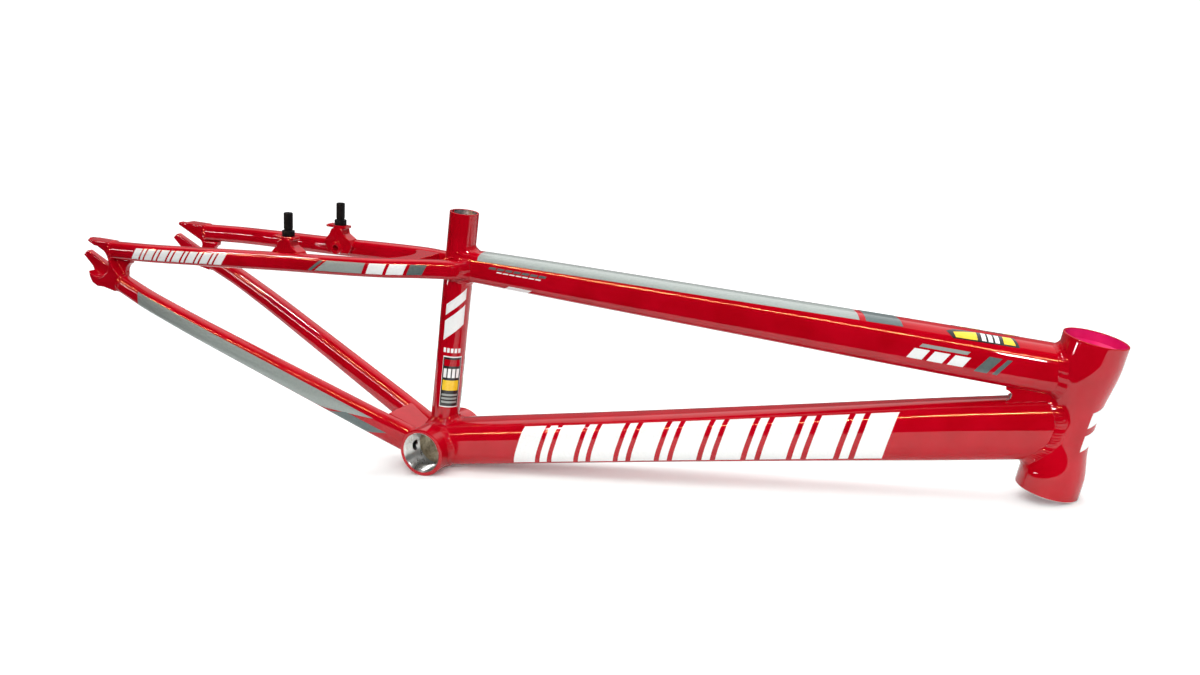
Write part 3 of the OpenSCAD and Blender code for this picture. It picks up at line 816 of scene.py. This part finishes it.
# --- Brake studs ---
def stud(hand):
    """A shank in the boss, a collar, a necked pivot and a threaded bolt hole in its end."""
    collar_r, collar_l, shank_l, edge = STUD_R + 1.6, 5.0, 9.0, 0.4
    base = mount_point("brake_pivot_" + hand) - STUD_AXIS * (STUD_L / 2 + collar_l)
    top = collar_l + STUD_L
    neck, tip, mouth = 0.35, 0.7, 0.5
    threads, thread_step, thread_depth = 24, 0.5, 0.18
    profile = ([[0, -shank_l + 1], [STUD_R - 0.4, -shank_l + 1], [STUD_R - 0.4, 0]]
               + arc([collar_r - edge, edge], edge, 270, 360, 3)
               + arc([collar_r - edge, collar_l - edge], edge, 0, 90, 3)
               + [[STUD_R + 0.3, collar_l], [STUD_R - neck, collar_l + 0.5], [STUD_R - neck, collar_l + 1.4],
                  [STUD_R, collar_l + 1.8]]
               + [[STUD_R, top - 0.9]] + arc([STUD_R - tip, top - tip], tip, 0, 90, 4)
               + [[STUD_BOLT_R + mouth, top], [STUD_BOLT_R, top - mouth]]
               + [[STUD_BOLT_R - thread_depth * (k % 2), top - 0.9 - thread_step * k] for k in range(threads)]
               + [[STUD_BOLT_R, top - STUD_BOLT_L + 0.6], [0, top - STUD_BOLT_L]])
    piece = turned("brake_stud_%s_body" % hand, profile, base, STUD_AXIS, 96, [BLACK],
                   "stud_black", ["brake_stud_" + hand])
    piece.data.set_sharp_from_angle(angle=SHARP)


stud("right")
stud("left")


# --- Welds: a rippled fillet between a tube and what it meets, filled over with paint ---
RIPPLE = 2.2
WELD_STEPS = 10
WELD_SHARP = math.radians(80)
fine = np.arange(0, 360, 0.5)
seat_line = Tube([0, 0, 0], SEAT_AXIS * SEAT_LENGTH,
                 [[0, 0, SEAT_R, SEAT_R], [SEAT_LENGTH, 0, SEAT_R, SEAT_R]], power=2.0)


def slope(depth, p):
    """Which way depth rises, and how steeply."""
    h = 0.05
    return np.stack([(depth(p + h * e) - depth(p - h * e)) / (2 * h) for e in np.eye(3)], -1)


def settle(depth, p):
    """Moves points onto the surface where depth is zero."""
    for _ in range(5):
        g = slope(depth, p)
        p = p - g * (depth(p) / np.maximum(np.sum(g * g, -1), 1e-6))[..., None]
    return p


def smooth_round(values, width):
    """A running mean round a ring."""
    k = np.hanning(width + 2)[1:-1]
    k = k / k.sum()
    pad = np.concatenate([values[-width:], values, values[:width]])
    return np.stack([np.convolve(pad[:, c], k, "same") for c in range(values.shape[1])], 1)[width:-width]


def steps_round(p):
    """Distances along a ring of points, with the full turn as the last."""
    return np.concatenate([[0], np.cumsum(np.linalg.norm(np.roll(p, -1, 0) - p, axis=1))])


def closed_faces(rows, columns):
    """Faces of a ring of rings, closed both ways."""
    last = (rows - 1) * columns
    return grid_faces(rows, columns, True) + [
        (last + c, last + (c + 1) % columns, (c + 1) % columns, c) for c in range(columns)]


def weld(tube, depth, inside, outside, reach, seed, proud=0.22, waver=0.07):
    """A closed fillet round the mouth of a tube.

    reach is its leg in mm, proud how far it bulges and waver how much its width changes, as shares of
    the leg. Its edges lap 0.05 mm into both surfaces, and its root is 1 mm below them.
    """
    away, lap = (1 if outside > inside else -1), 0.05
    d = steps_round(tube.at(meet(tube, fine, depth, inside, outside), fine))
    total = d[-1]
    count = int(total / (RIPPLE / 8))
    at = np.arange(count) * total / count
    angles = np.interp(at, d, np.append(fine, 360.0))
    s = meet(tube, angles, depth, inside, outside)
    p = tube.at(s, angles)
    tube_out = unit(smooth_round(tube.normal(s, angles), 9))
    other_out = unit(smooth_round(unit(slope(depth, p)), 9))

    def flat(v):
        return v - np.sum(v * other_out, 1, keepdims=True) * other_out

    along = np.broadcast_to(-away * tube.axis, p.shape)
    spread = unit(smooth_round(flat(tube_out) + 0.6 * flat(along), 15))
    rng = np.random.default_rng(seed)
    waves = sum(rng.uniform(0.4, 1) * np.sin(2 * math.pi * (k * at / total) + rng.uniform(0, 6.28))
                for k in (3, 5, 8, 13, 19)) / 2.6
    turns = round(total / RIPPLE)
    heights = rng.uniform(-1, 1, turns)
    lumps = np.interp(at, np.linspace(0, total, turns + 1), np.append(heights, heights[:1]))
    u = np.linspace(0, 1, WELD_STEPS + 1)
    phase = (2 * math.pi * turns * (at / total)[:, None] - 1.6 * np.sin(math.pi * u)[None, :]
             + 1.4 * waves[:, None])
    ripple = (0.5 + 0.5 * np.cos(phase)) * np.sin(math.pi * u)[None, :] * (0.7 + 0.5 * lumps)[:, None]
    wide = reach * (1 + waver * waves + 0.025 * lumps)
    on_tube = tube.at(s + away * wide, angles, -lap)
    on_other = settle(depth, p + spread * wide[:, None]) - other_out * lap
    middle = unit(tube_out + other_out)
    bend = p + middle * (proud * reach * (1 + 0.35 * lumps + 0.6 * waves))[:, None]
    u = u[None, :, None]
    curve = (1 - u)**2 * on_tube[:, None] + 2 * u * (1 - u) * bend[:, None] + u**2 * on_other[:, None]
    curve = curve + middle[:, None] * (ripple * 0.03 * reach)[..., None]
    under = np.stack([on_other - other_out * 0.6, p - middle, on_tube - tube_out * 0.6], 1)
    ring = np.concatenate([curve, under], 1)
    return ring.reshape(-1, 3), closed_faces(count, ring.shape[1])


def mirror_of(welds):
    return [(q * np.array([1, -1, 1]), [f[::-1] for f in faces]) for q, faces in welds]


def joined(shapes):
    """Several lists of points and faces as one."""
    points, faces, first = [], [], 0
    for q, f in shapes:
        points.append(q)
        faces += [tuple(i + first for i in face) for face in f]
        first += len(q)
    return np.concatenate(points), faces


def weld_piece(name, welds, node, mirror=False):
    clean(make_piece(name, *joined(welds), [WELD_PAINT], "weld_paint", [node], None, mirror, WELD_SHARP))


def seat_foot(p):
    """Below zero inside the shell or the down tube."""
    return np.minimum(shell_depth(p) / SHELL_R, down_tube.depth(p))


weld_piece("top_tube_head_bead", [weld(top_tube, *TOP_FRONT, 3.9, 11)], "top_tube_head_weld")
weld_piece("down_tube_head_bead", [weld(down_tube, *DOWN_FRONT, 4.4, 12)], "down_tube_head_weld")
weld_piece("top_tube_seat_bead", [weld(top_tube, *TOP_REAR, 5.2, 13, proud=0.18)], "top_tube_seat_weld")
weld_piece("down_tube_shell_bead", [weld(down_tube, *DOWN_REAR, 4.4, 14)], "down_tube_shell_weld")
chain_welds = [weld(chainstay, *CHAIN_FRONT, 4.2, 15)]
weld_piece("chainstay_shell_beads", chain_welds + mirror_of(chain_welds), "chainstay_shell_welds")
stay_welds = [weld(seatstay, *STAY_FRONT, 3.6, 16, proud=0.5, waver=0.16)]
weld_piece("seatstay_seat_beads", stay_welds + mirror_of(stay_welds), "seatstay_seat_welds")
weld_piece("seat_tube_shell_bead", [weld(seat_line, seat_foot, 8, 60, 5.4, 17, proud=0.3)],
           "seat_tube_shell_weld")


def end_weld(tube, length, seed):
    """A low rippled bead round the square end of a stay, twice as wide as it is high."""
    radius, columns = 1.5, 14
    p = tube.at(np.full(len(fine), length), fine)
    n = tube.normal(np.full(len(fine), length), fine)
    d = steps_round(p)
    rng = np.random.default_rng(seed)
    phase = 2 * math.pi * round(d[-1] / RIPPLE) * d[:-1] / d[-1]
    wander = sum(rng.uniform(0.4, 1) * np.sin(k * np.radians(fine) + rng.uniform(0, 6.28))
                 for k in (2, 3, 5)) / 2
    theta = np.arange(columns) * 2 * math.pi / columns
    r = radius * (1 + 0.08 * np.cos(phase[:, None] + 1.2 * np.sin(theta)[None, :]) + 0.1 * wander[:, None])
    ring = ((p - n * 0.25 * radius)[:, None] + (r * 0.75 * np.cos(theta))[..., None] * n[:, None]
            + (r * 1.5 * np.sin(theta))[..., None] * tube.axis)
    return ring.reshape(-1, 3), closed_faces(len(p), columns)


for mirror, hand in ((False, "right"), (True, "left")):
    weld_piece("dropout_%s_beads" % hand,
               [end_weld(seatstay, seatstay_len, 18), end_weld(chainstay, chain_len, 19)],
               "dropout_welds_" + hand, mirror)


# --- Decals: plain blocks and stripes of printed film, wrapped on the surface ---
FILM = 0.14
SUNK = -0.25
FILM_SHARP = math.radians(50)
FILM_SLOTS = {WHITE.name: "decal_white", GREY.name: "decal_grey", GREY_DARKER_REARWARD.name: "decal_grey",
              DARK.name: "decal_dark", INK.name: "decal_dark", YELLOW.name: "decal_yellow",
              PAINT.name: "red_paint"}


def film(surface, outline):
    """A four-cornered patch: outline is (s, angle) for four corners in order round the patch."""
    (s0, a0), (s1, a1), (s2, a2), (s3, a3) = outline
    across, along = 14, max(6, int(max(abs(s1 - s0), abs(s2 - s3)) / 3))
    u = np.linspace(0, 1, along + 1)[:, None]
    v = np.linspace(0, 1, across + 1)[None, :]
    s = (1 - v) * ((1 - u) * s0 + u * s1) + v * ((1 - u) * s3 + u * s2)
    a = (1 - v) * ((1 - u) * a0 + u * a1) + v * ((1 - u) * a3 + u * a2)
    upper, lower = surface(s, a, FILM).reshape(-1, 3), surface(s, a, SUNK).reshape(-1, 3)
    rows, columns = along + 1, across + 1
    n = rows * columns
    faces = grid_faces(rows, columns, False) + grid_faces(rows, columns, False, n, True)
    rim = ([r * columns for r in range(rows)] + [(rows - 1) * columns + c for c in range(1, columns)]
           + [r * columns + columns - 1 for r in range(rows - 2, -1, -1)] + list(range(columns - 2, 0, -1)))
    for k, i in enumerate(rim):
        j = rim[(k + 1) % len(rim)]
        faces.append((i, j, j + n, i + n))
    return np.concatenate([upper, lower]), faces


def film_piece(name, surface, outlines, material, mirror=False):
    clean(make_piece(name, *joined([film(surface, outline) for outline in outlines]), [material],
                     FILM_SLOTS[material.name], (), None, mirror, FILM_SHARP))


def both_sides(name, surface, outlines, material):
    film_piece(name + "_right", surface, outlines, material)
    film_piece(name + "_left", surface, outlines, material, True)


def block(s0, s1, a_low, a_high, slant=0):
    """A slanted block: s0 to s1 along the tube, its top edge shifted by slant."""
    return [(s0, a_low), (s1, a_low), (s1 + slant, a_high), (s0 + slant, a_high)]


def blocks(count, step, s0, s1, a_low, a_high, slant=0):
    """A row of equal blocks."""
    return [block(s0 + step * k, s1 + step * k, a_low, a_high, slant) for k in range(count)]


def bars(start, end, low, high, slant, thick, thin, gap):
    """A run of slanted bars, thick and thin by turns."""
    out, s, k = [], start, 0
    step = 1 if end > start else -1
    while (end - s) * step > 0:
        w = (thick, thin)[k % 2] * step
        out.append([(s, low), (s + w, low), (s + w + step * slant, high), (s + step * slant, high)])
        s, k = s + w + step * gap, k + 1
    return out


def lifted(surface, lift):
    """The same surface a little higher, for a film that lies on another."""
    return lambda s, a, out: surface(s, a, out + lift if out > 0 else out)


def ring_at(front, angle):
    """Directions from a round tube's axis: angle 0 is the front, 90 is towards -Y."""
    a = np.radians(angle)
    return np.cos(a)[..., None] * front - np.sin(a)[..., None] * Y


def on_seat_tube(s, angle, out):
    ring = ring_at(front_of(SEAT_AXIS), angle)
    return np.asarray(s, float)[..., None] * SEAT_AXIS + (SEAT_R + out) * ring


def on_head_tube(s, angle, out):
    ring = ring_at(front_of(HEAD_AXIS), angle)
    return HEAD_LOW + np.asarray(s, float)[..., None] * HEAD_AXIS + (head_radius(s) + out)[..., None] * ring


# Down tube: a long run of slanted bars
both_sides("down_tube_bars", down_tube.at, bars(82, 404, 224, 135, 17, 21.0, 7.0, 4.6), WHITE)

# Top tube: a long stripe on top, small marks at both ends
film_piece("top_tube_stripe", top_tube.at, [[(24, 148), (352, 134), (338, 46), (24, 32)]], GREY)
film_piece("top_tube_dash", top_tube.at, [[(357, 134), (384, 132), (370, 48), (343, 46)]], DARK)
both_sides("top_tube_rear_line_dark", top_tube.at, blocks(7, 8, 36, 42.5, 168, 160, 1.5), DARK)
both_sides("top_tube_rear_line_white", top_tube.at, blocks(7, 6.2, 44, 49, 177, 173, 0.8), WHITE)
both_sides("top_tube_rear_block", top_tube.at, [block(48, 70, 238, 216, 8)], WHITE)
both_sides("top_tube_front_grey", top_tube.at, [block(398, 432, 170, 162, 2)], GREY)
both_sides("top_tube_front_white", top_tube.at, blocks(3, 14.5, 390, 401, 200, 175, 5), WHITE)
both_sides("top_tube_front_dark", top_tube.at,
           [block(438, 447, 204, 165, 9), block(450.5, 454, 204, 165, 9)], DARK)

# Top tube: a yellow shield with black bars, on the shoulder near the head tube
on_badge = lifted(top_tube.at, 0.1)
both_sides("top_tube_badge", top_tube.at,
           [[(414, 122), (420, 139), (466, 136), (460, 104)],
            [(414, 122), (460, 104), (424, 106), (418, 110)]], INK)
both_sides("top_tube_badge_yellow", on_badge,
           [[(419, 122), (422, 136), (437, 135), (434, 108)],
            [(455, 133), (463, 133), (458, 106), (452, 106)]], YELLOW)
both_sides("top_tube_badge_white", on_badge, blocks(3, 4.6, 440, 443, 134, 108, -3), WHITE)

# Seatstays: on the stays 90 is down and 270 is up
both_sides("seatstay_bars", seatstay.at, bars(306, 212, 214, 146, -7, 8.0, 3.0, 2.0), WHITE)
both_sides("seatstay_block_grey", seatstay.at, [[(106, 214), (69, 212), (73, 150), (119, 150)]], GREY)
both_sides("seatstay_block_white", seatstay.at,
           [[(65, 212), (50, 211), (54, 150), (69, 150)], [(47, 211), (33, 210), (37, 150), (51, 150)]],
           WHITE)
both_sides("seatstay_block_dark", seatstay.at,
           [[(30, 210), (16, 209), (21, 151), (34, 150)], [(113, 214), (109, 214), (122, 150), (126, 150)]],
           DARK)

# Chainstays
both_sides("chainstay_stripe", chainstay.at, [[(309, 134), (112, 134), (58, 206), (313, 216)]], GREY_DARKER_REARWARD)
both_sides("chainstay_dash", chainstay.at, [[(102, 130), (62, 130), (42, 174), (84, 174)]], DARK)

# Seat tube: marks, and a panel with bars in it
on_panel = lifted(on_seat_tube, 0.2)
both_sides("seat_tube_mark", on_seat_tube,
           [[(100, 98), (118, 98), (134, 20), (116, 20)],
            [(123, 98), (133, 98), (149, 20), (139, 20)]], WHITE)
both_sides("seat_tube_small_mark", on_seat_tube,
           [block(89.5, 93.5, 92 - 15 * k, 82 - 15 * k) for k in range(5)], WHITE)
both_sides("seat_tube_panel", on_seat_tube, [block(38, 86, 90, 12)], WHITE)
both_sides("seat_tube_panel_field", lifted(on_seat_tube, 0.1), [block(39, 85, 88, 14)], INK)
both_sides("seat_tube_panel_head", on_panel, [block(77, 83, 83, 19)], PAINT)
both_sides("seat_tube_panel_bars", on_panel,
           [block(66, 74.5, 83 - 17 * k, 71 - 17 * k) for k in range(4)], WHITE)
both_sides("seat_tube_panel_band", on_panel, [block(54, 63.5, 83, 19)], YELLOW)
both_sides("seat_tube_panel_lines", on_panel, blocks(3, 3.4, 42, 43.8, 83, 19), GREY)

# Head tube: two slanted bands round the front
film_piece("head_tube_badge_upper", on_head_tube, [[(56, 46), (68, 46), (80, -46), (68, -46)]], WHITE)
film_piece("head_tube_badge_lower", on_head_tube, [[(38, 46), (50, 46), (62, -46), (50, -46)]], WHITE)


# --- Stage, lights and camera ---
FLOOR_FRONT, FLOOR_BACK, FLOOR_REACH = -0.21, 0.75, 1.35
FLOOR_SEEN, FLOOR_BOUNCE = (0.87, 0.93, 0.92, 1), (0.66, 0.7, 0.7, 1)


def floor():
    """A white floor that ends in front of the frame; what lies past it reflects dark in the paint.

    It is darker to diffuse rays, so that it throws less light up under the frame.
    """
    mesh = bpy.data.meshes.new("floor")
    z = cad_bounds[0][2]
    mesh.from_pydata([(-FLOOR_REACH, FLOOR_FRONT, z), (FLOOR_REACH, FLOOR_FRONT, z),
                      (FLOOR_REACH, FLOOR_BACK, z), (-FLOOR_REACH, FLOOR_BACK, z)], [], [(0, 1, 2, 3)])
    m, tree, shader = new_material("floor")
    path = tree.nodes.new("ShaderNodeLightPath")
    tone = tree.nodes.new("ShaderNodeMix")
    tone.data_type = "RGBA"
    set_inputs(tone, {"A": FLOOR_SEEN, "B": FLOOR_BOUNCE})
    tree.links.new(path.outputs["Is Diffuse Ray"], tone.inputs["Factor"])
    tree.links.new(tone.outputs["Result"], shader.inputs["Base Color"])
    set_inputs(shader, {"Roughness": 0.7, "Specular IOR Level": 0.1, "Emission Color": (1, 1, 1, 1),
                        "Emission Strength": 0.09})
    mesh.materials.append(m)
    new_object("floor", mesh)


floor()


def area_light(name, place, target, size, size_y, power, colour=(1, 1, 1), fill=True, shine=True):
    """A lamp that the camera doesn't see: places and sizes in metres, power in watts."""
    data = bpy.data.lights.new(name, "AREA")
    data.shape = "RECTANGLE"
    data.size, data.size_y = size, size_y
    data.energy = power
    data.color = colour
    light = new_object(name, data)
    light.location = place
    light.rotation_euler = (Vector(target) - Vector(place)).to_track_quat("-Z", "Y").to_euler()
    light.visible_camera = False
    light.visible_diffuse = fill
    light.visible_glossy = shine
    return light


def keep_off(light, pieces):
    """Leaves pieces out of what one light falls on."""
    group = bpy.data.collections.new(light.name + "_off")
    for piece in pieces:
        group.objects.link(piece)
    light.light_linking.receiver_collection = group
    for entry in group.collection_objects:
        entry.light_linking.link_state = "EXCLUDE"


def world():
    """White overhead, a dim room behind the frame and a dark one behind the camera."""
    w = bpy.data.worlds.new("studio")
    bpy.context.scene.world = w
    w.use_nodes = True
    tree = w.node_tree
    back = tree.nodes["Background"]
    where = tree.nodes.new("ShaderNodeTexCoord")

    def facing(direction, low, high, at_low, at_high):
        dot = tree.nodes.new("ShaderNodeVectorMath")
        dot.operation = "DOT_PRODUCT"
        dot.inputs[1].default_value = direction
        tree.links.new(where.outputs["Generated"], dot.inputs[0])
        return ramp(tree, dot.outputs["Value"], low, high, at_low, at_high)

    def mixed(factor, a, b):
        node = tree.nodes.new("ShaderNodeMix")
        node.data_type = "RGBA"
        tree.links.new(factor, node.inputs["Factor"])
        for source, socket in ((a, node.inputs["A"]), (b, node.inputs["B"])):
            if isinstance(source, tuple):
                socket.default_value = source
            else:
                tree.links.new(source, socket)
        return node.outputs["Result"]

    room = facing((-0.28, -0.96, 0.0), (0.16, 0.16, 0.165), (0.012, 0.012, 0.013), 0.10, 0.16)
    ceiling = facing((0, 0.45, 0.893), (0, 0, 0), (1, 1, 1), 0.72, 0.80)
    lit = mixed(ceiling.outputs["Color"], room.outputs["Color"], (1.0, 1.0, 1.0, 1))
    path = tree.nodes.new("ShaderNodeLightPath")
    seen = mixed(path.outputs["Is Camera Ray"], lit, (1.0, 1.0, 1.0, 1))
    tree.links.new(seen, back.inputs["Color"])
    back.inputs["Strength"].default_value = 1.25


world()
area_light("front_fill", (1.0, -1.8, 1.1), (0.25, 0, 0.1), 1.8, 1.2, 41, shine=False)
area_light("back_fill", (0.2, 1.9, 1.2), (0.1, 0, 0.05), 2.4, 1.2, 10, shine=False)
area_light("top_fill", (0.15, 0.0, 2.2), (0.1, 0, 0), 3.2, 2.2, 52, shine=False)
warm = area_light("warm_strip", (-0.1, -2.3, 1.2), (0.1, 0, 0.05), 4.0, 0.03, 135, (1.0, 0.46, 0.16),
                  fill=False)
area_light("side_strip", (-2.1, -1.75, 0.2), (-0.2, 0.05, 0.18), 0.8, 0.03, 5.0, fill=False)
keep_off(warm, [shell_body])
area_light("spark_left", (-1.1, -1.3, 1.7), (0.0, 0, 0.1), 0.14, 0.14, 9, fill=False)
area_light("spark_right", (1.3, -1.2, 1.5), (0.4, 0, 0.1), 0.08, 0.08, 6, fill=False)
area_light("spark_low", (0.5, -2.0, 0.5), (0.1, 0, 0.1), 0.10, 0.10, 8, fill=False)


def camera():
    """The view from the front right, a little above."""
    yaw, elevation, roll = math.radians(25.457), math.radians(11.407), math.radians(-5.308)
    aim = Vector((168.54, 0, 97.07)) * MM
    distance = 952.84 * MM
    ahead = Vector((-math.sin(yaw) * math.cos(elevation), math.cos(yaw) * math.cos(elevation),
                    -math.sin(elevation)))
    right = Vector((math.cos(yaw), math.sin(yaw), 0))
    up = right.cross(ahead)
    right, up = (right * math.cos(roll) + up * math.sin(roll),
                 -right * math.sin(roll) + up * math.cos(roll))
    data = bpy.data.cameras.new("camera")
    data.sensor_width = 36.0
    data.lens = 34.13
    data.clip_start, data.clip_end = 0.01, 100
    cam = new_object("camera", data)
    turn = Matrix((right, up, -ahead)).transposed()
    cam.matrix_world = Matrix.Translation(aim - ahead * distance) @ turn.to_4x4()
    bpy.context.scene.camera = cam


camera()
bpy.context.scene.view_settings.view_transform = "Standard"
